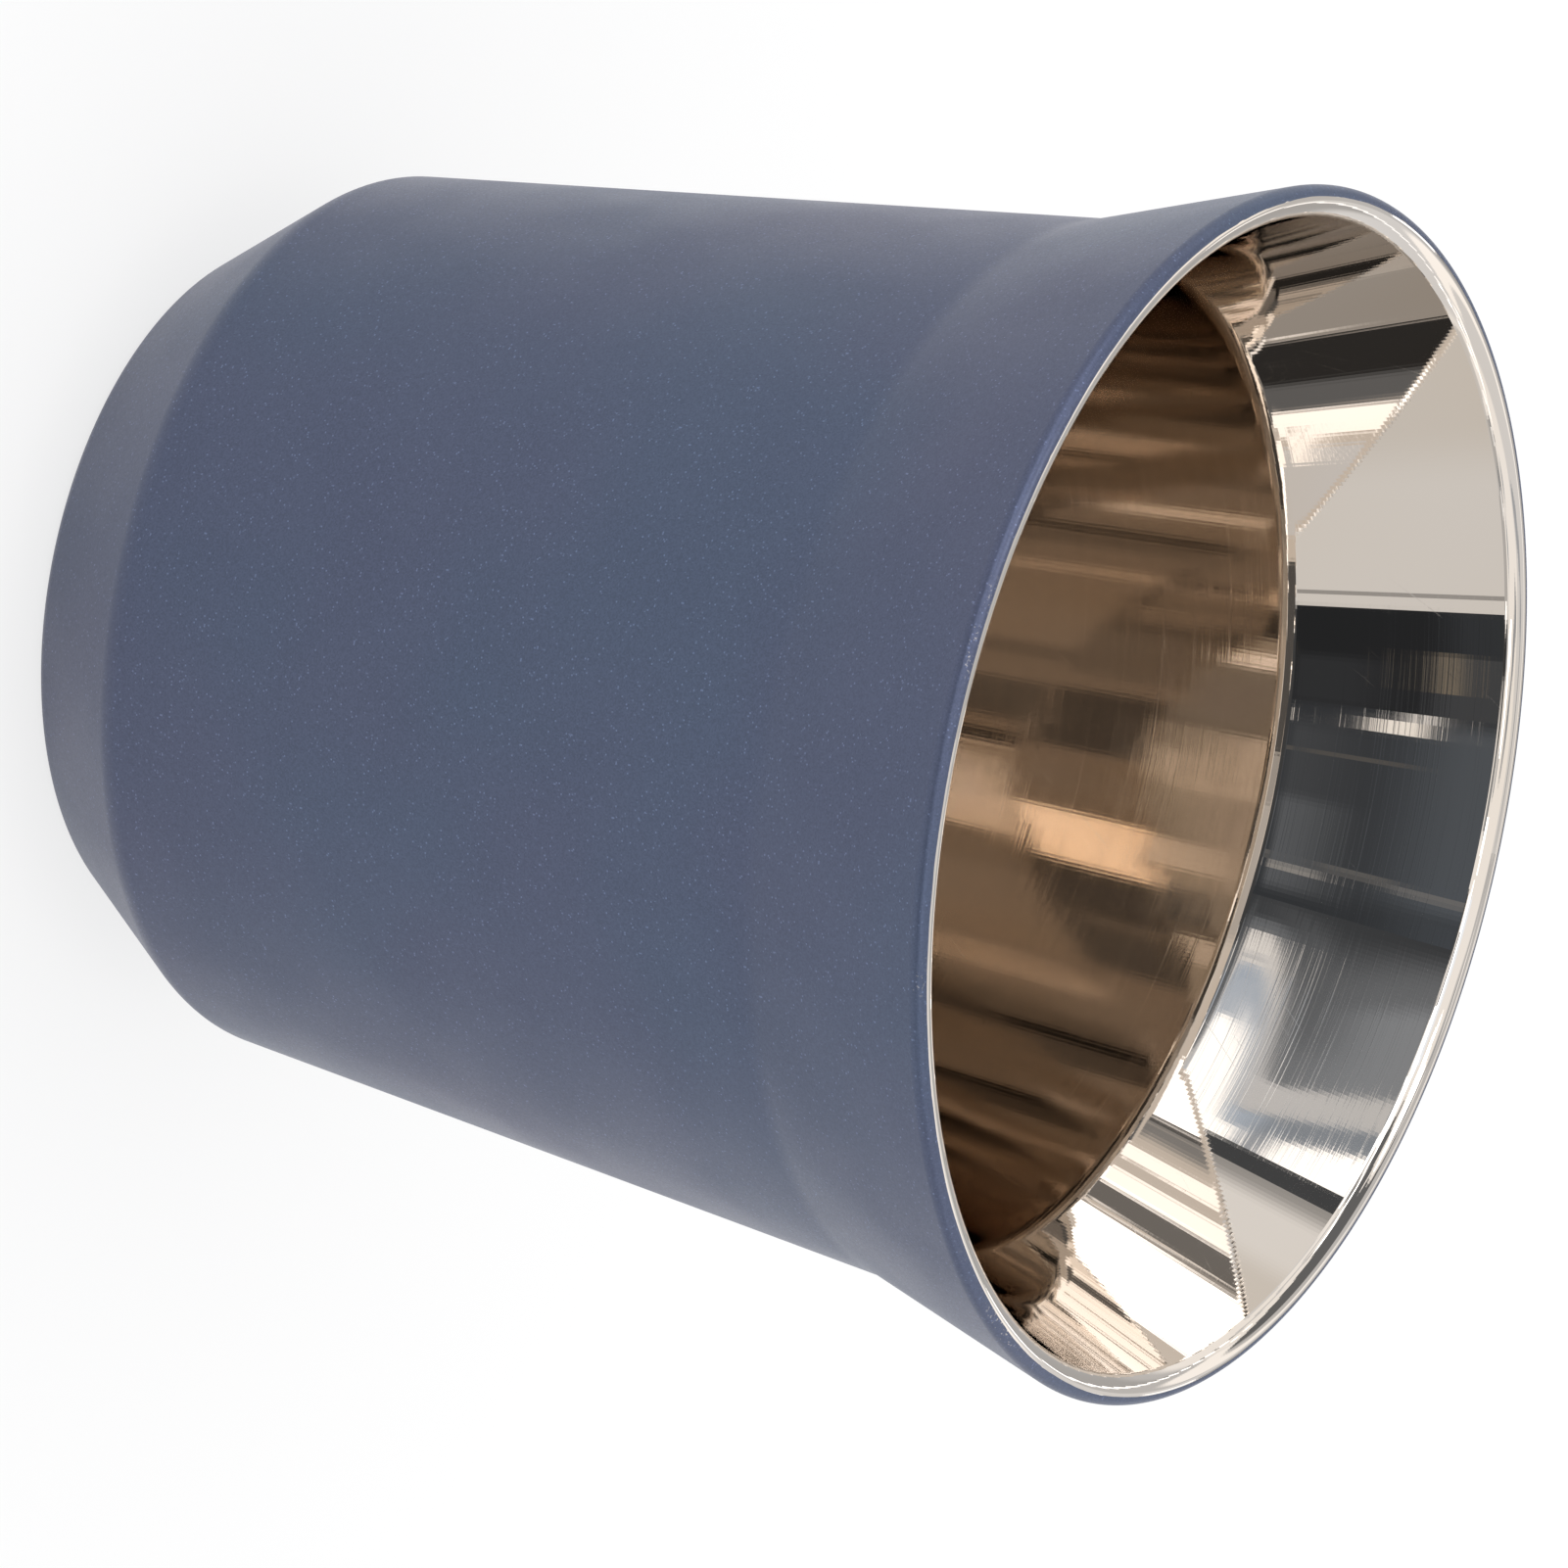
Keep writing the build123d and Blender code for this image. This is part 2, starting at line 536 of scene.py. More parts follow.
def worn_edge(sheet, given, wall):
    """Draws the lacquer's edge back along the lip's rounding, by an amount that varies round the cup."""
    x, y, z = sheet.add("GeometryNodeInputPosition").split()
    radius = (x * x + y * y).math("SQRT")
    out = radius - given.output("Lip Radius")
    up = z - given.output("Lip Height")
    reach = (out * out + up * up).math("SQRT")
    climb = up.math("ARCTAN2", out)
    first = given.output("Wear From")
    around = sheet.vector(x / radius, y / radius, given.output("Seed"))
    wander = sheet.noise(around, 9.0, 3.0).ramp(0.35, 0.75)
    bites = sheet.noise(around, 38.0, 4.0).ramp(0.60, 0.78)
    kept = 1 - given.output("Edge Wear") * (wander * WANDER_SHARE + bites * (1 - WANDER_SHARE))
    new_climb = first + (climb - first) * kept
    new_radius = given.output("Lip Radius") + reach * new_climb.math("COSINE")
    new_height = given.output("Lip Height") + reach * new_climb.math("SINE")
    place = sheet.vector(x / radius * new_radius, y / radius * new_radius, new_height)
    on_edge = climb.math("GREATER_THAN", first)
    values = {"Geometry": wall, "Selection": on_edge, "Position": place}
    return sheet.add("GeometryNodeSetPosition", values)


def make_piece(name, profile, inputs):
    """Turns a profile into a finished mesh piece at the origin, and ties it to the frame."""
    piece = profile_object(name, *profile)
    tree = bpy.data.node_groups.get(LATHE_NAME) or lathe_tree()
    lathe = piece.modifiers.new("Lathe", "NODES")
    lathe.node_group = tree
    for socket in tree.interface.items_tree:
        if socket.in_out == "INPUT" and socket.name in inputs:
            lathe[socket.identifier] = inputs[socket.name]
    depsgraph = bpy.context.evaluated_depsgraph_get()
    mesh = bpy.data.meshes.new_from_object(piece.evaluated_get(depsgraph), depsgraph=depsgraph)
    mesh.name = name
    piece.modifiers.remove(lathe)
    piece.data = mesh
    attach(piece, CUP_BODY)
    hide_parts(CUP_NODE)


def cup_settings(scene):
    """The cup's settings. Raises an error if the wall's sizes don't give the frame's cup."""
    sizes = scene.cup_sizes
    widest = lip_centre(sizes)[0] + sizes.lip_outer_round
    if abs(widest - CUP_RADIUS) > FIT_TOLERANCE:
        raise ValueError(f"the lip's radius is {widest:.6f} m, and the frame's is {CUP_RADIUS:.6f} m")
    return sizes, scene.cup_mesh, scene.cup_finish


def new_material(name):
    """An empty material and the sheet of its tree."""
    material = bpy.data.materials.new(name)
    material.use_nodes = True
    material.node_tree.nodes.clear()
    return material, NodeSheet(material.node_tree)


def cup_coordinates(sheet):
    """Position on the cup: the place itself, the direction round the axis, the height and the radius."""
    place = sheet.add("ShaderNodeTexCoord", output="Object")
    x, y, z = place.split()
    radius = (x * x + y * y).math("SQRT")
    return place, x / radius, y / radius, z, radius


# Where the steel's look changes from the flare's to the inside's, counted up from the waist
WAIST_FADE = (1.0 * MM, -1.5 * MM)

# What is left of the steel's red, green and blue where it is a little browner
BROWNER = (0.985, 0.965, 0.935)

# What the steel's faults add to its roughness, and what comes on top of that inside
SCRATCH_DULLNESS = 0.08
HAIR_DULLNESS = 0.016
HAIR_DULLNESS_INSIDE = 0.03

# Scales of those faults' noise, round the axis and along the wall. Scratches turn by SCRATCH_SLANT
# radians in each metre of height.
LINE_SCALES = (4.0, 7000.0)
HAIR_SCALES = (1.8, 9000.0)
SCRATCH_SCALES = (230.0, 220.0)
SCRATCH_SLANT = 28.0
WAVE_SCALES = (2.6, 70.0)

# Their heights, as shares of how deep each kind can be
LINE_DEPTH = 0.0011 * MM
LINE_HEIGHT = 0.03
LINE_HEIGHT_INSIDE = 0.17
HAIR_HEIGHT = 0.045
HAIR_HEIGHT_INSIDE = 0.155
WAVE_DEPTH = 0.05 * MM
WAVE_HEIGHT = 0.03
WAVE_HEIGHT_INSIDE = 0.5
WAVE_HEIGHT_ON_FLARE = 0.10


def steel_material(finish, sizes):
    """Polished steel with fine lines round the axis, a few slanted scratches and soft waves."""
    material, sheet = new_material("polished_stainless_steel")
    place, side_x, side_y, z, radius = cup_coordinates(sheet)
    waist = sizes.cup_height - sizes.inner_flare_depth
    inside = z.ramp(waist + WAIST_FADE[0], waist + WAIST_FADE[1])

    lines = stretched_noise(sheet, side_x, side_y, z + radius, LINE_SCALES)
    hairs = stretched_noise(sheet, side_x, side_y, z + radius, HAIR_SCALES).ramp(0.54, 0.76)
    scratches = slanted_scratches(sheet, side_x, side_y, z)
    waves = stretched_noise(sheet, side_x, side_y, z, WAVE_SCALES)
    on_flare = side_x.ramp(0.1, 0.7) * (1 - inside)
    wave_height = inside * WAVE_HEIGHT_INSIDE + on_flare * WAVE_HEIGHT_ON_FLARE + WAVE_HEIGHT
    line_height = LINE_HEIGHT + inside * LINE_HEIGHT_INSIDE
    hair_height = HAIR_HEIGHT + inside * HAIR_HEIGHT_INSIDE

    dull = scratches * SCRATCH_DULLNESS + hairs * (HAIR_DULLNESS + inside * HAIR_DULLNESS_INSIDE)
    roughness = inside * (finish.body_roughness - finish.steel_roughness) + finish.steel_roughness + dull
    warmth = sheet.noise(place, 45.0, 1.0).ramp(0.35, 0.7)
    browner = [value * left for value, left in zip(finish.steel, BROWNER)]
    base = sheet.blend(warmth, finish.steel, browner)
    normal = sheet.bump(waves * wave_height, WAVE_DEPTH)
    normal = sheet.bump(lines * line_height + hairs * hair_height, LINE_DEPTH, normal)
    sheet.finish_metal({"Base Color": base, "Metallic": 1.0, "Roughness": roughness, "Normal": normal})
    return material


def stretched_noise(sheet, side_x, side_y, rise, scales):
    """Noise with a scale of its own round the axis and along a rise, as polishing leaves it."""
    around, along = scales
    return sheet.noise(sheet.vector(side_x * around, side_y * around, rise * along), 1.0, 1.0)


def slanted_scratches(sheet, side_x, side_y, z):
    """Sparse fine scratches that cross the polishing lines."""
    turn = z * SCRATCH_SLANT
    turned_x = side_x * turn.math("COSINE") - side_y * turn.math("SINE")
    turned_y = side_x * turn.math("SINE") + side_y * turn.math("COSINE")
    return stretched_noise(sheet, turned_x, turned_y, z, SCRATCH_SCALES).ramp(0.74, 0.80)


# Brightness of the lacquer's flakes: the dullest, the spread above it, and what a few of them gain
DULLEST_FLAKE = 0.88
FLAKE_SPREAD = 0.22
BRIGHT_FLAKE_GAIN = 0.8

# How metallic the lacquer is, and how its roughness varies over patches, over flakes and on bare steel
LACQUER_METALLIC = 0.62
PATCH_ROUGHNESS = 0.07
FLAKE_ROUGHNESS = 0.08
BARE_SMOOTHNESS = 0.15
LACQUER_GRAIN_DEPTH = 0.004 * MM
DUST_COLOUR = (0.62, 0.62, 0.62)

# The foot's ring is worn in flecks where it touches the table: below this height and outside this radius
FOOT_WEAR_HEIGHT = (0.16 * MM, 0.05 * MM)
FOOT_WEAR_RADIUS = (15.9 * MM, 16.2 * MM)


def lacquer_material(finish, sizes):
    """Satin pearl lacquer: blue-grey with metallic flakes, cooler and warmer patches, chips and dust."""
    material, sheet = new_material("satin_blue_lacquer")
    place, _, _, z, radius = cup_coordinates(sheet)

    cooler = sheet.noise(place, 45.0, 2.0).ramp(0.38, 0.68)
    warmer = sheet.noise(place, 32.0, 2.0).ramp(0.45, 0.75)
    base = sheet.blend(cooler, finish.lacquer, finish.lacquer_teal)
    base = sheet.blend(warmer, base, finish.lacquer_mauve)
    flakes = sheet.add("ShaderNodeVectorMath", [place, (finish.flake_size,) * 3], operation="SNAP")
    flake, other, _ = sheet.add("ShaderNodeTexWhiteNoise", [flakes], output="Color").split()
    glint = DULLEST_FLAKE + FLAKE_SPREAD * flake + flake.ramp(0.975, 0.995) * BRIGHT_FLAKE_GAIN
    base = sheet.tint(base, glint)

    flecks = sheet.noise(place, 900.0, 3.0).ramp(0.60, 0.70)
    foot = z.ramp(*FOOT_WEAR_HEIGHT) * flecks * radius.ramp(*FOOT_WEAR_RADIUS)
    bare = edge_chips(sheet, place, z, sizes).math("MAXIMUM", foot)
    dust = dust_specks(sheet, place)
    base = sheet.blend(bare, base, finish.steel)
    base = sheet.blend(dust, base, DUST_COLOUR)
    metallic = (LACQUER_METALLIC + bare * (1 - LACQUER_METALLIC)) * (1 - dust)
    patches = (sheet.noise(place, 160.0, 1.0).ramp(0.3, 0.75) - 0.5) * PATCH_ROUGHNESS
    uneven = patches + (other - 0.5) * FLAKE_ROUGHNESS
    roughness = finish.lacquer_roughness + uneven - bare * BARE_SMOOTHNESS

    normal = sheet.bump(sheet.noise(place, 1500.0, 1.0), LACQUER_GRAIN_DEPTH)
    sheet.finish_metal(
        {
            "Base Color": base,
            "Metallic": metallic,
            "Roughness": roughness,
            "Normal": normal,
            "Coat Weight": 0.15,
            "Coat Roughness": 0.25,
            "Sheen Weight": 0.04,
            "Sheen Roughness": 0.45,
            "Sheen Tint": (0.78, 0.74, 0.92),
        }
    )
    return material


# Chips start this far below the lacquer's edge, and lie closest from the second depth up
CHIP_DEPTHS = (0.75 * MM, 0.05 * MM)
CHIPS_BY_EDGE = 0.16


def edge_chips(sheet, place, z, sizes):
    """Where the lacquer is rubbed through to the steel, just below its edge on the lip."""
    edge_height = lip_centre(sizes)[1] + sizes.lip_outer_round * sin(sizes.coat_edge)
    near = z.ramp(edge_height - CHIP_DEPTHS[0], edge_height - CHIP_DEPTHS[1])
    rubbed = sheet.noise(place, 70.0, 2.0).ramp(0.56, 0.70)
    grain = sheet.noise(place, 5200.0, 3.0)
    return (grain + near * CHIPS_BY_EDGE).ramp(0.76, 0.80) * rubbed * near.ramp(0.02, 0.2)


# One cell in five of this size holds a speck of dust, whose radius is a share of the cell's size
DUST_CELL = 5.0 * MM
DUST_PICK = (0.80, 0.82)
DUST_RADIUS = (0.020, 0.012)


def dust_specks(sheet, place):
    """A few specks of white dust."""
    near = sheet.cells(place, DUST_CELL, "Distance")
    pick, _, _ = near.output("Color").split()
    return near.ramp(*DUST_RADIUS) * pick.ramp(*DUST_PICK)


# A part of the room's light. Left and right are azimuths, and low and high are elevations at azimuth 0.
# With a slant, these fall by that much for each degree of azimuth.
Panel = namedtuple("Panel", "left right low high level blueness softness slant", defaults=(0.0,))

# A panel that goes down to here has no lower edge
NADIR = -90

# How far the black board and the front lamp fall for each degree of azimuth
LAMP_FALL = 0.26

# Panels below and above this elevation are worked out apart, which saves time
LOW_PANELS_END = 20.5

# What the studio holds round the cup, each panel in front of those before it. In degrees: azimuth 0 is
# behind the camera and 90 to its right. A negative blueness is a warm light.
STUDIO_PANELS = {
    "far wall, left": Panel(-200, -140, NADIR, 76, 0.78, 0.1, 8),
    "far wall, right": Panel(116, 200, NADIR, 76, 1.02, 0.1, 8),
    "far wall, lower part, left": Panel(-200, -150, NADIR, 24, 0.6, 0.1, 8),
    "far wall, lower part, right": Panel(160, 200, NADIR, 24, 0.6, 0.1, 8),
    "far wall, lit part, left": Panel(-200, -140, 29.5, 36, 1.45, 0, 3),
    "far wall, lit part, right": Panel(133, 200, 29.5, 36, 1.5, 0, 3),
    "far wall, lit top, left": Panel(-200, -145, 59.6, 63.5, 1.45, 0, 3),
    "dark cupboard, left": Panel(-155, -66, 36.4, 53.5, 0.20, 0.2, 2),
    "dark cupboard, far part": Panel(-155, -108, 50, 58.5, 0.20, 0.2, 2),
    "grey wall, left": Panel(-125, -60, 20.6, 25, 0.9, 0.1, 2),
    "right wall": Panel(46.4, 112, NADIR, 16.2, 0.93, 0.05, 1),
    "right wall, far part": Panel(62, 112, NADIR, 12.9, 0.86, 0, 6),
    "right wall, upper part": Panel(47, 90, 13.4, 28, 0.67, 0.05, 1),
    "dark space behind the camera": Panel(-34, 46, NADIR, 20, 0.075, 0.25, 3),
    "grey curtain": Panel(-58, -32, NADIR, 17.4, 0.30, 0.3, 4),
    "left wall": Panel(-112, -77, NADIR, 9.9, 1, 0.1, 1),
    "pale card": Panel(-66, -57, 11.9, 13.6, 0.75, 0.1, 1.5),
    "wall under the board": Panel(4, 47, 23.8, 33.2, 0.5, 0.1, 1),
    "black board": Panel(34.5, 47, 23.8, 33.2, 0.06, 0.2, 1),
    "black board, slanted end": Panel(15, 35.5, 36.9, 39.6, 0.06, 0.2, 1, LAMP_FALL),
    "shade above the board": Panel(3, 22, 31, 36.6, 0.30, 0.4, 5),
    "pale ceiling": Panel(-54, -11, 39.6, 50, 1.5, 0.35, 1),
    "left soft box, far part": Panel(-78, -60, 13.6, 21.3, 4.2, 0.25, 0.8),
    "left soft box, middle": Panel(-60, -47, 17.8, 26.2, 4.2, 0.25, 0.8),
    "left soft box, near part": Panel(-47, -32.5, 23.5, 29.8, 4.2, 0.25, 0.8),
    "left soft box, upper part": Panel(-66, -9, 29.8, 39.5, 4.2, 0.2, 1),
    "soft box handle": Panel(-33, -17, 29.9, 35, 0.38, 0.2, 1.2),
    "soft box clamp": Panel(-37.5, -31.5, 28.9, 30.3, 0.55, 0.2, 1.6),
    "right overhead lamp": Panel(22.5, 56, 44.3, 51, 4, 0.25, 1),
    "shade beside it": Panel(12, 22.5, 41.8, 44.6, 0.55, 0.3, 4),
    "dark rod beside it": Panel(22.4, 25.2, 43.2, 45.6, 0.25, 0.3, 0.8),
    "left overhead lamp": Panel(-123, -61, 60, 70, 7.8, 0.05, 4),
    "left strip lamp": Panel(-98, -62, 33.4, 36.5, 4.8, 0.1, 8),
    "dark ceiling, right": Panel(22, 96, 62, 70, 0.5, 0.3, 6),
    "dark beam, right": Panel(36, 88, 33.5, 36.5, 0.6, 0.3, 6),
    "dark ceiling, far left": Panel(-180, -127, 62.2, 66, 0.5, 0.3, 3),
    "dark ceiling, far right": Panel(125, 180, 57, 62.6, 0.6, 0.3, 3),
    "dark shelf, far left": Panel(-180, -120, 22.4, 23.38, 0.5, 0.1, 1),
    "lamp over the far shelf": Panel(108, 132, 22.2, 23.3, 3.2, 0.1, 3),
    "dark shelf, right": Panel(62, 92, 21.2, 22.8, 0.35, 0.3, 2),
    "far strip, left": Panel(-180, -124, 23.3, 25, 2.5, 0.1, 0.4),
    "far strip, right": Panel(96, 180, 23.28, 25, 1.8, 0.1, 0.4),
    "right strip": Panel(60, 96, 22.5, 24, 1.3, 0.1, 0.4),
    "right strip, near end": Panel(28, 50, 20.4, 23.5, 2.3, 0.1, 1),
    "dark rail, left": Panel(-100, -84, 28.4, 29.8, 0.7, 0.1, 3),
    "dark rail, near end": Panel(-82, -72, 26, 32, 0.35, 0.1, 2),
    "dark rail, behind the camera": Panel(-34, -8, 20.6, 22.6, 0.1, 0.1, 0.8),
    "small lamp, far left": Panel(-136, -123, 30.2, 31.4, 2.7, 0, 2),
    "lit rail, right": Panel(95, 130, 28.4, 30.6, 2.6, 0, 8),
}

# What stands in the low, narrow band that the flare sees after one reflection. Elevations are counted
# from the line that the flare's middle sees: its waist sees 0.4 degrees below it, its lip 0.4 above.
# A panel that goes up to 9 has no upper edge in the band.
BAND_PANELS = {
    "left wall": Panel(-180, -78.5, NADIR, 9, 0.45, 0, 1),
    "left wall, lit part": Panel(-180, -82.5, NADIR, 9, 1.06, 0, 6),
    "left wall, far part": Panel(-180, -97, NADIR, 9, 0.88, -0.1, 8),
    "dark post": Panel(-78.8, -72, NADIR, 9, 0.09, 0.3, 0.6),
    "dark space behind the camera": Panel(-30.8, 46.4, NADIR, 9, 0.058, 0.5, 1),
    "dark space, lower edge": Panel(-17, 20, NADIR, -0.2, 0.10, 0.4, 6),
    "dark space, pale corner": Panel(-17, 3, NADIR, -0.22, 0.17, 0.4, 4),
    "dark space, upper edge": Panel(-15, 23, 0.13, 9, 0.145, 0.6, 5),
    "dark space, left upper edge": Panel(-31, -15, 0.2, 9, 0.10, 0.6, 4),
    "black flag": Panel(24.5, 46.4, NADIR, 0.2, 0.03, 0.4, 1.5),
    "black flag, lower edge": Panel(24.5, 35, NADIR, -0.08, 0.05, 0.4, 3),
    "grey bench": Panel(24.5, 37, 0.14, 9, 0.09, 0.4, 1),
    "wooden stool": Panel(29.6, 37.4, 0.155, 0.25, 0.24, -0.6, 0.5),
    "window": Panel(19.7, 23.1, -0.1, 0.13, 1.25, -0.1, 0.3),
    "window, upper part": Panel(22.8, 24.7, 0.05, 0.17, 1.1, 0, 0.3),
    "pale cord": Panel(-13.4, -11.8, NADIR, -0.18, 0.36, 0, 0.5),
    "pale cord, middle": Panel(-11, -9.6, -0.18, 0.13, 0.16, 0.1, 0.5),
    "pale cord, upper part": Panel(-12, -10.6, 0.13, 9, 0.22, 0.2, 0.5),
    "thin stand": Panel(13.4, 14.1, -0.35, 0.1, 0.12, 0, 0.3),
    "right wall": Panel(46.4, 180, NADIR, 9, 0.93, 0, 0.6),
    "right wall, far part": Panel(80, 180, NADIR, 9, 0.82, -0.1, 16),
    "joint in the right wall": Panel(48.9, 49.7, NADIR, 9, 0.45, 0, 0.3),
}

# The curtain in that band and the lit table beside it. Their edges lie where the flare's middle sees
# them, and the folds carry them further right towards its waist.
CURTAIN_PANELS = {
    "curtain": Panel(-180, 180, NADIR, 9, 0.23, 0.35, 1),
    "pale part": Panel(-60, -39, 0.12, 9, 0.38, 0.35, 5),
    "dark side": Panel(-29, 180, NADIR, 9, 0.075, 0.4, 14),
    "dark side, by the waist": Panel(-50, 180, NADIR, -0.12, 0.075, 0.4, 8),
    "pale fold": Panel(-67, -58.9, NADIR, 9, 0.80, 0.1, 1),
    "pale fold, by the waist": Panel(-71, -59, NADIR, -0.17, 1.08, 0, 1.2),
    "shadow in the fold": Panel(-65.8, -64.6, NADIR, -0.06, 0.72, 0.2, 0.8),
    "blue fold": Panel(-180, -67, NADIR, 9, 0.70, 0.6, 1),
    "blue fold, by the lip": Panel(-180, -67, 0.12, 9, 0.40, 0.5, 1),
    "lit table": Panel(-180, -73.7, NADIR, 0.09, 2, 0, 1.2),
    "lit table, near part": Panel(-180, -71.5, -0.12, 0.08, 2, 0, 1),
    "blue fold, by the waist": Panel(-80, -71, NADIR, -0.27, 0.76, 0.5, 1.6),
    "lit table, by the lip": Panel(-180, -73.2, 0.25, 9, 2, 0, 0.8),
}

# A lamp that the flare sees after two reflections, above the elevation LAMP_LINE - LAMP_FALL * azimuth.
# Its left edge slants: the flare's waist sees it LAMP_SLANT degrees further left than the lip does.
# The two ranges are where that sets in.
FRONT_LAMP = Panel(-5.5, 7.2, 34, 46, 3, 0.15, 1.2)
LAMP_LINE = 37.65
LAMP_SLANT = 14.0
LAMP_SLANT_RISE = (0.75, 0.4)
LAMP_SLANT_SIDE = (4, -4)

# The elevation that the flare's middle sees is this sum of powers of the azimuth's cosine, in degrees.
# The band reaches so far above and below it.
FLARE_LINE = (5.77, 15.16, -2.845)
BAND_REACH = 1.3

# Where the curtain hangs. Its folds carry it by FOLD_REACH at the flare's waist, and by FOLD_LEAN for
# each degree above the line. The two ranges are where the folds set in.
CURTAIN_MIDDLE = -47.35
CURTAIN_HALF = 27.35
FOLD_REACH = 37.6
FOLD_LEAN = 15.0
FOLD_RISE = (0.02, -0.36)
FOLD_SIDE = (-16, -28)

# Softness of the panels' upper and lower edges, as a share of their sides' softness
ROOM_SOFTNESS = 0.25
BAND_SOFTNESS = 0.05

# What a panel of blueness 1 loses in red and green and gains in blue
BLUE_SHIFT = (-0.35, -0.10, 0.25)

WHITE = (1, 1, 1)
PAPER = (0.86, 0.86, 0.86)
FLOOR_SIDES = 64


def panel_mask(azimuth, elevation, panel, upright_softness):
    """1 inside a panel, 0 outside it, with soft edges."""
    mask = azimuth.within(panel.left, panel.right, panel.softness / 2)
    soft = panel.softness * upright_softness
    if panel.slant:
        elevation = elevation + azimuth * panel.slant
    if panel.low == NADIR:
        return mask * elevation.ramp(panel.high + soft, panel.high - soft)
    return mask * elevation.within(panel.low, panel.high, soft)


def panel_colour(panel):
    """A neutral, bluish or warm light of the panel's level."""
    return [panel.level * (1 + panel.blueness * shift) for shift in BLUE_SHIFT]


def draw_panels(sheet, behind, azimuth, elevation, panels, upright_softness=ROOM_SOFTNESS):
    """A light with some panels in front of it, each in front of those before it."""
    for panel in panels:
        mask = panel_mask(azimuth, elevation, panel, upright_softness)
        behind = sheet.blend(mask, behind, panel_colour(panel))
    return behind


def view_direction(sheet):
    """Azimuth and elevation of a ray, and how far it lies above the flare's line."""
    x, y, z = sheet.add("ShaderNodeTexCoord", output="Generated").split()
    degree = 180 / pi
    turn = x.math("ARCTAN2", y * -1)
    elevation = z.math("ARCSINE") * degree
    cosine = turn.math("COSINE")
    above_line = elevation - (FLARE_LINE[0] + cosine * (FLARE_LINE[1] + cosine * FLARE_LINE[2]))
    return turn * degree, elevation, above_line


def room_light(sheet, azimuth, elevation, plain):
    """The light of the room's low and high panels, with the front lamp."""
    low = [panel for panel in STUDIO_PANELS.values() if panel.low < LOW_PANELS_END]
    high = [panel for panel in STUDIO_PANELS.values() if panel.high > LOW_PANELS_END]
    low_room = draw_panels(sheet, plain, azimuth, elevation, low)
    high_room = draw_panels(sheet, plain, azimuth, elevation, high)
    above_lamp_line = elevation - LAMP_LINE + azimuth * LAMP_FALL
    slant = above_lamp_line.ramp(*LAMP_SLANT_RISE) * azimuth.ramp(*LAMP_SLANT_SIDE) * LAMP_SLANT
    high_room = draw_panels(sheet, high_room, azimuth + slant, elevation, [FRONT_LAMP])
    is_high = elevation.math("GREATER_THAN", LOW_PANELS_END)
    return sheet.mix(is_high, sheet.background(low_room), sheet.background(high_room))


def band_light(sheet, azimuth, above_line, plain):
    """The light of the narrow band, with the curtain in it."""
    fold = (above_line.ramp(*FOLD_RISE) * FOLD_REACH + above_line * FOLD_LEAN) * azimuth.ramp(*FOLD_SIDE)
    folded = azimuth - fold
    curtain = draw_panels(sheet, plain, folded, above_line, CURTAIN_PANELS.values(), BAND_SOFTNESS)
    band = draw_panels(sheet, plain, azimuth, above_line, BAND_PANELS.values(), BAND_SOFTNESS)
    in_curtain = (azimuth - CURTAIN_MIDDLE).math("ABSOLUTE").math("LESS_THAN", CURTAIN_HALF)
    return sheet.mix(in_curtain, sheet.background(band), sheet.background(curtain))


def build_world(studio):
    """A soft room with panels: the polished steel reflects it, and the camera itself sees white."""
    world = bpy.data.worlds.new("studio_room")
    world.use_nodes = True
    world.node_tree.nodes.clear()
    sheet = NodeSheet(world.node_tree)
    azimuth, elevation, above_line = view_direction(sheet)
    plain = (studio.room_level,) * 3
    in_band = above_line.math("ABSOLUTE").math("LESS_THAN", BAND_REACH)
    light = room_light(sheet, azimuth, elevation, plain)
    light = sheet.mix(in_band, light, band_light(sheet, azimuth, above_line, plain))
    ray = sheet.add("ShaderNodeLightPath", output="Is Camera Ray")
    even = sheet.background(WHITE, studio.room_level)
    light = sheet.mix(ray.output("Is Diffuse Ray"), light, even)
    light = sheet.mix(ray, light, sheet.background(WHITE))
    sheet.finish_with("ShaderNodeOutputWorld", {"Surface": light})
    bpy.context.scene.world = world
    world.cycles.sampling_method = "NONE"


def floor_material(studio):
    """White floor that keeps the cup's shadow, and that a view from below looks through."""
    material, sheet = new_material("white_floor")
    paper = sheet.add("ShaderNodeBsdfDiffuse", {"Color": PAPER})
    white = sheet.add("ShaderNodeEmission", {"Color": WHITE, "Strength": 1.0})
    ray = sheet.add("ShaderNodeLightPath", output="Is Camera Ray")
    seen = ray.math("MAXIMUM", ray.output("Is Glossy Ray"))
    seen = seen.math("MAXIMUM", ray.output("Is Transmission Ray"))
    top = sheet.mix(seen * studio.floor_white, paper, white)
    clear = sheet.add("ShaderNodeBsdfTransparent")
    back = sheet.add("ShaderNodeNewGeometry", output="Backfacing")
    sheet.finish_with("ShaderNodeOutputMaterial", {"Surface": sheet.mix(back, top, clear)})
    return material


def build_floor(studio):
    """A round floor at the height that the cup stands on."""
    turns = [2 * pi * i / FLOOR_SIDES for i in range(FLOOR_SIDES)]
    ring = [(studio.floor_radius * cos(turn), studio.floor_radius * sin(turn), 0.0) for turn in turns]
    mesh = bpy.data.meshes.new("studio_floor")
    mesh.from_pydata(ring, [], [tuple(range(FLOOR_SIDES))])
    mesh.materials.append(floor_material(studio))
    floor = bpy.data.objects.new("studio_floor", mesh)
    bpy.context.scene.collection.objects.link(floor)


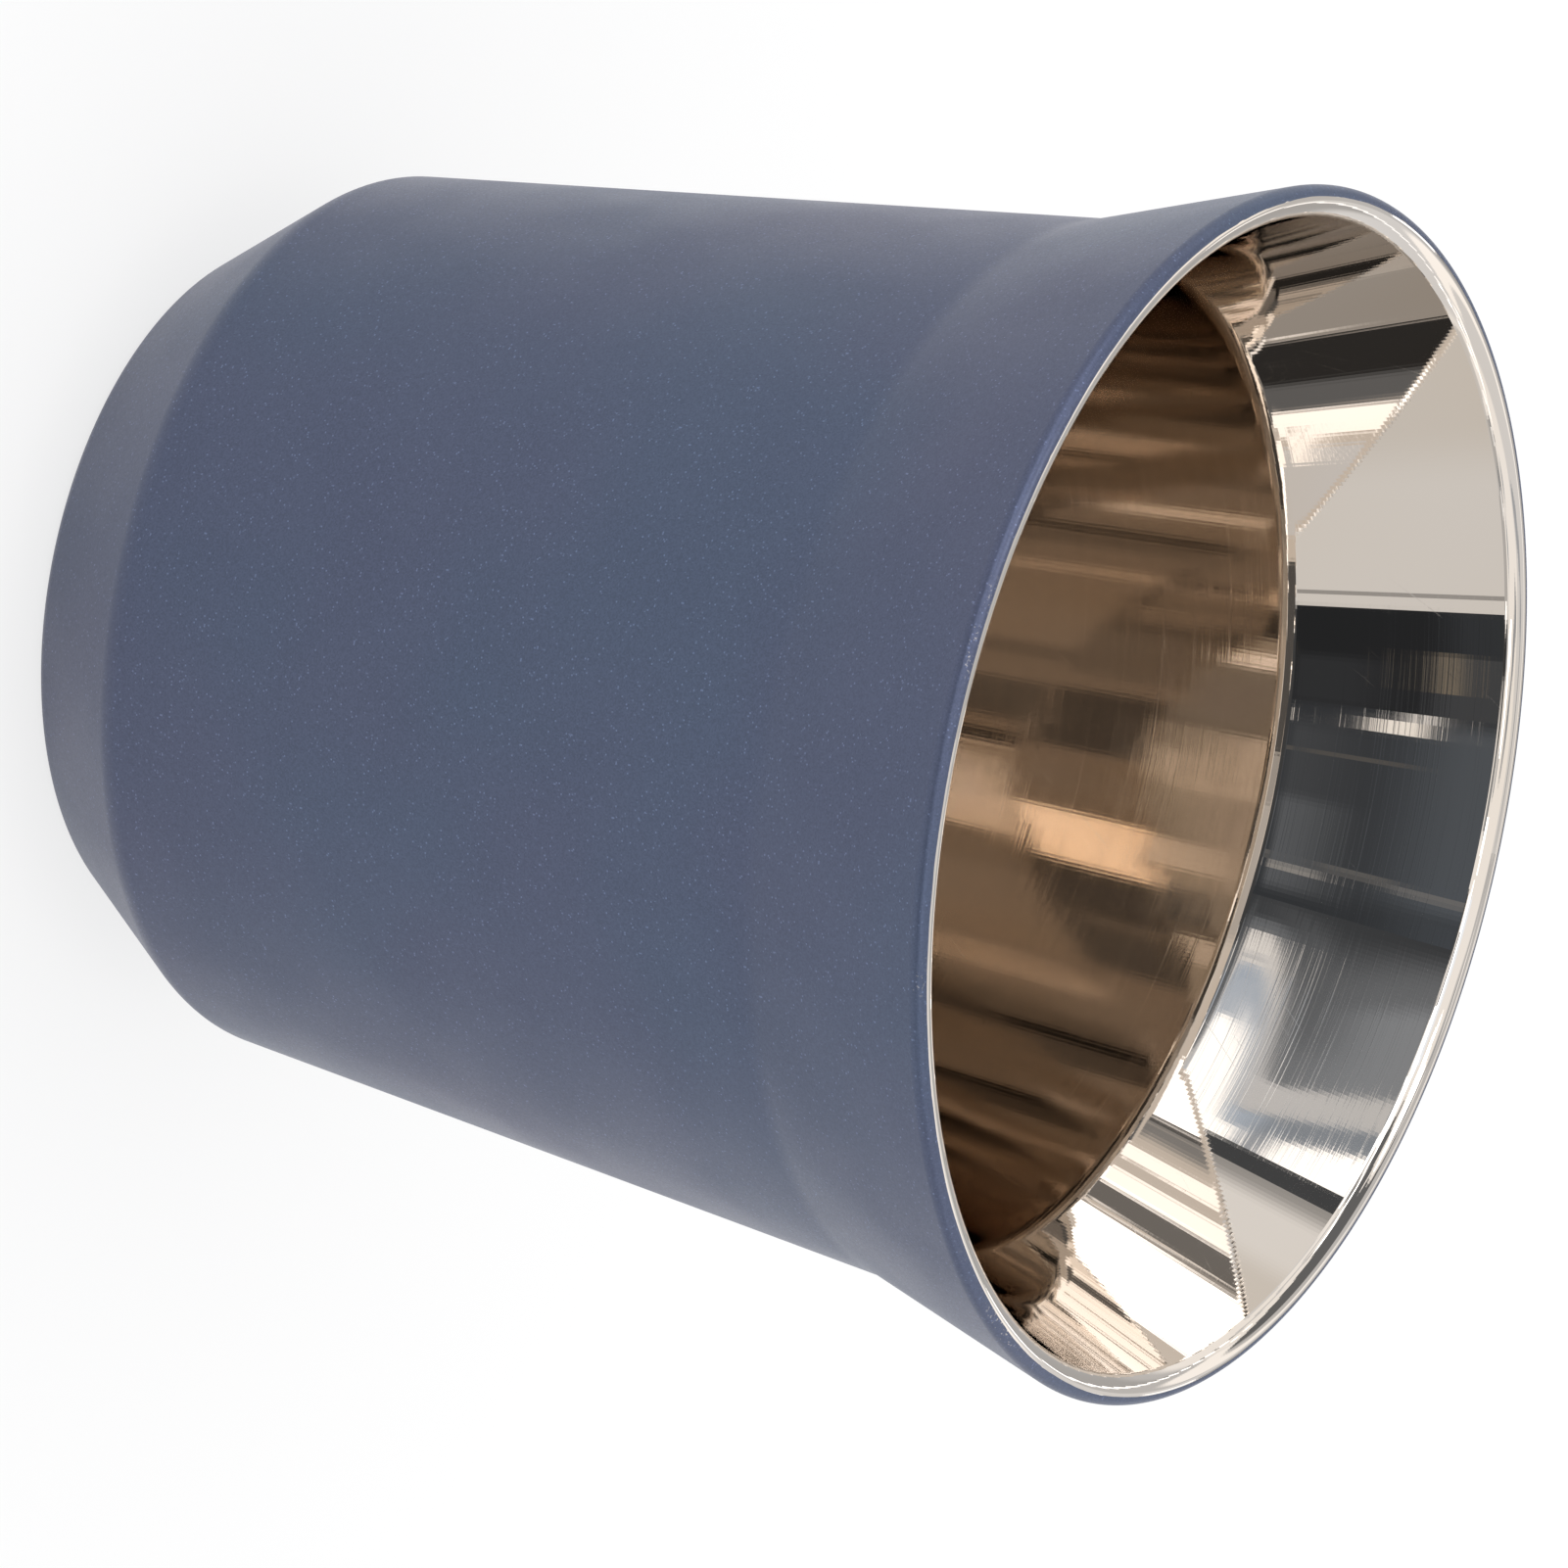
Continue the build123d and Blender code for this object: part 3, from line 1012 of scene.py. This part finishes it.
def build_camera(studio):
    """The camera, turned about its line of sight so that the standing cup seems to lie."""
    az, el = studio.azimuth, studio.elevation
    back = Vector((sin(az) * cos(el), -cos(az) * cos(el), sin(el)))
    level_right = (-back).cross(Vector((0, 0, 1))).normalized()
    level_up = level_right.cross(-back)
    up = level_up * cos(studio.roll) + level_right * sin(studio.roll)
    right = (-back).cross(up)
    data = bpy.data.cameras.new("photo_camera")
    data.sensor_width = studio.sensor
    data.sensor_fit = "HORIZONTAL"
    data.lens = studio.lens
    camera = bpy.data.objects.new("photo_camera", data)
    turn = Matrix((right, up, back)).transposed().to_4x4()
    camera.matrix_world = Matrix.Translation(Vector(studio.aim) + back * studio.distance) @ turn
    bpy.context.scene.collection.objects.link(camera)
    bpy.context.scene.camera = camera


class DRAWNCUP_OT_add_steel_wall(bpy.types.Operator):
    """Add the drawn steel wall, bare inside and on its lip"""

    bl_idname = "drawn_cup.add_steel_wall"
    bl_label = "Add Steel Wall"

    def execute(self, context):
        sizes, mesh, finish = cup_settings(context.scene)
        inputs = {
            "Segments": mesh.steel_segments,
            "Bend Points": mesh.steel_points,
            "Longest Step": mesh.steel_step,
            "Wear From": NO_WEAR,
            "Material": steel_material(finish, sizes),
        }
        make_piece("steel_wall", steel_profile(sizes), inputs)
        return {"FINISHED"}


class DRAWNCUP_OT_add_lacquer_coat(bpy.types.Operator):
    """Add the lacquer on the outside, with its worn edge on the lip"""

    bl_idname = "drawn_cup.add_lacquer_coat"
    bl_label = "Add Lacquer Coat"

    def execute(self, context):
        sizes, mesh, finish = cup_settings(context.scene)
        centre_r, centre_z = lip_centre(sizes)
        inputs = {
            "Segments": mesh.coat_segments,
            "Bend Points": mesh.coat_points,
            "Longest Step": mesh.coat_step,
            "Lip Radius": centre_r,
            "Lip Height": centre_z,
            "Wear From": WEAR_FROM,
            "Edge Wear": sizes.edge_wear,
            "Seed": mesh.seed,
            "Material": lacquer_material(finish, sizes),
        }
        make_piece("lacquer_coat", coat_profile(sizes), inputs)
        return {"FINISHED"}


class DRAWNCUP_OT_set_up_studio(bpy.types.Operator):
    """Set up the floor, the soft room and the camera"""

    bl_idname = "drawn_cup.set_up_studio"
    bl_label = "Set Up Studio"

    def execute(self, context):
        scene = context.scene
        build_world(scene.cup_studio)
        build_floor(scene.cup_studio)
        build_camera(scene.cup_studio)
        scene.view_settings.view_transform = "Standard"
        scene.cycles.max_bounces = MOST_BOUNCES
        scene.cycles.glossy_bounces = MOST_BOUNCES
        return {"FINISHED"}


class DRAWNCUP_PT_sidebar(bpy.types.Panel):
    """Sizes, finishes and studio of the drawn cup"""

    bl_idname = "DRAWNCUP_PT_sidebar"
    bl_label = "Drawn Cup"
    bl_space_type = "VIEW_3D"
    bl_region_type = "UI"
    bl_category = "Drawn Cup"

    def draw(self, context):
        for operator in OPERATORS:
            self.layout.operator(operator.bl_idname)
        for group_name in GROUPS:
            group = getattr(context.scene, group_name)
            box = self.layout.box()
            for name in group.__annotations__:
                box.prop(group, name)


OPERATORS = (DRAWNCUP_OT_add_steel_wall, DRAWNCUP_OT_add_lacquer_coat, DRAWNCUP_OT_set_up_studio)
GROUPS = {
    "cup_sizes": CupSizes,
    "cup_mesh": CupMesh,
    "cup_finish": CupFinish,
    "cup_studio": StudioSettings,
}


def register():
    for cls in (*GROUPS.values(), *OPERATORS, DRAWNCUP_PT_sidebar):
        bpy.utils.register_class(cls)
    for name, group in GROUPS.items():
        setattr(bpy.types.Scene, name, PointerProperty(type=group))


def unregister():
    for name in GROUPS:
        delattr(bpy.types.Scene, name)
    for cls in (DRAWNCUP_PT_sidebar, *OPERATORS, *GROUPS.values()):
        bpy.utils.unregister_class(cls)


def main():
    """Makes the pieces and the studio."""
    register()
    bpy.ops.drawn_cup.add_steel_wall()
    bpy.ops.drawn_cup.add_lacquer_coat()
    bpy.ops.drawn_cup.set_up_studio()


if __name__ == "__main__":
    main()
